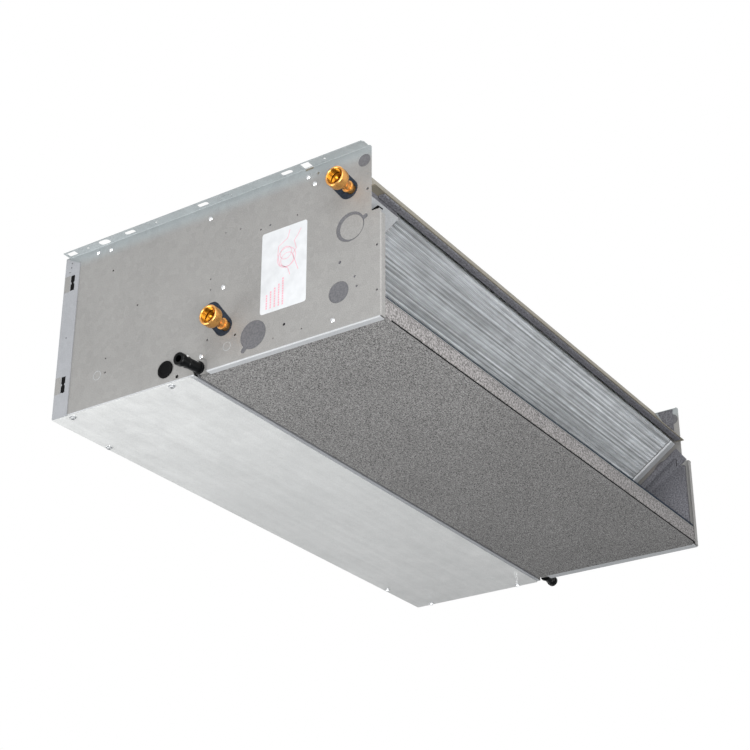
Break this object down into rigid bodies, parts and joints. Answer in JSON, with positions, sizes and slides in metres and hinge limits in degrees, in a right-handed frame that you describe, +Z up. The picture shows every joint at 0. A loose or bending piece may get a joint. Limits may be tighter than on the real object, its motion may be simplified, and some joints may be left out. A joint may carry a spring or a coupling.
{
  "type": "fan coil unit",
  "caption": "Concealed ceiling fan coil unit: sheet-metal casing with a tilted water coil behind the outlet, drain pan, centrifugal blowers and a rear air filter.",
  "frame": {"origin": "middle of the ceiling face, the plane of the top sheet and the hanging flanges", "axes": "+X along the unit, away from the water connections; -Y towards the air outlet; +Z up to the ceiling"},
  "size_m": [0.8745, 0.46, 0.217],
  "materials": {
    "galvanised_steel": "satin, hot-dip galvanised",
    "pale_sheet": "satin, pale galvanised",
    "foam": "matte closed-cell foam",
    "seal_foam": "matte closed-cell rubber",
    "fin_aluminium": "bright",
    "copper": "satin copper",
    "brass": "satin",
    "black_plastic": "matte",
    "scroll_sheet": "satin",
    "wheel": "satin",
    "motor_paint": "satin",
    "shaft_steel": "ground",
    "grey_rubber": "matte",
    "filter_plastic": "matte",
    "filter_cloth": "woven",
    "terminal_plastic": "matte",
    "capacitor_can": "satin"
  },
  "bodies": {
    "casing": {"left_end_panel": "galvanised_steel", "right_end_panel": "galvanised_steel", "left_panel_lining": "foam", "right_panel_lining": "foam", "ceiling_panel": "galvanised_steel", "ceiling_lining": "foam", "outlet_flange_foam": "foam", "drain_pan": "galvanised_steel", "drain_pan_foam": "foam", "left_drain_spigot": "black_plastic", "right_drain_spigot": "black_plastic", "centre_rail": "galvanised_steel", "access_panel": "pale_sheet", "coil_fins": "fin_aluminium", "coil_tubes": "copper", "right_return_bends": "copper", "left_return_bends": "copper", "left_coil_plate": "galvanised_steel", "right_coil_plate": "galvanised_steel", "coil_brackets": "galvanised_steel", "header_cover": "galvanised_steel", "return_header": "copper", "supply_header": "copper", "upper_water_connection": "brass", "lower_water_connection": "brass", "pipe_seals": "seal_foam", "header_valve_seats": "brass", "fan_deck": "galvanised_steel", "left_scroll": "scroll_sheet", "right_scroll": "scroll_sheet", "motor": "motor_paint", "motor_bearings": "brass", "motor_mount_rings": "grey_rubber", "motor_cradle": "galvanised_steel", "run_capacitor": "capacitor_can", "rear_frame": "pale_sheet", "filter_stops": "galvanised_steel", "terminal_box": "galvanised_steel", "terminal_box_cover": "galvanised_steel", "terminal_block": "terminal_plastic", "cable_glands": "black_plastic", "cable_entry_bush": "black_plastic"},
    "fan": {"left_impeller": "wheel", "right_impeller": "wheel", "left_wheel_rings": "wheel", "right_wheel_rings": "wheel", "fan_shaft": "shaft_steel"},
    "filter": {"filter_frame": "filter_plastic", "filter_mesh": "filter_cloth"},
    "air_vent": {"air_vent_screw": "brass"},
    "coil_drain": {"coil_drain_screw": "brass"}
  },
  "joints": [
    {"name": "fan_spin", "type": "hinge", "parent": "casing", "child": "fan", "pos_m": [0, 0.1265, -0.112], "axis": [1, 0, 0], "continuous": true},
    {"name": "filter_pull", "type": "slide", "parent": "casing", "child": "filter", "axis": [0, 1, 0], "range_m": [0, 0.06]},
    {"name": "air_vent_turn", "type": "hinge", "parent": "casing", "child": "air_vent", "pos_m": [-0.366, -0.18348, -0.04115], "axis": [0, 0.5835, 0.8121], "range_deg": [0, 360]},
    {"name": "coil_drain_turn", "type": "hinge", "parent": "casing", "child": "coil_drain", "pos_m": [-0.366, -0.01847, -0.15973], "axis": [0, 0.5835, 0.8121], "range_deg": [0, 360]}
  ]
}
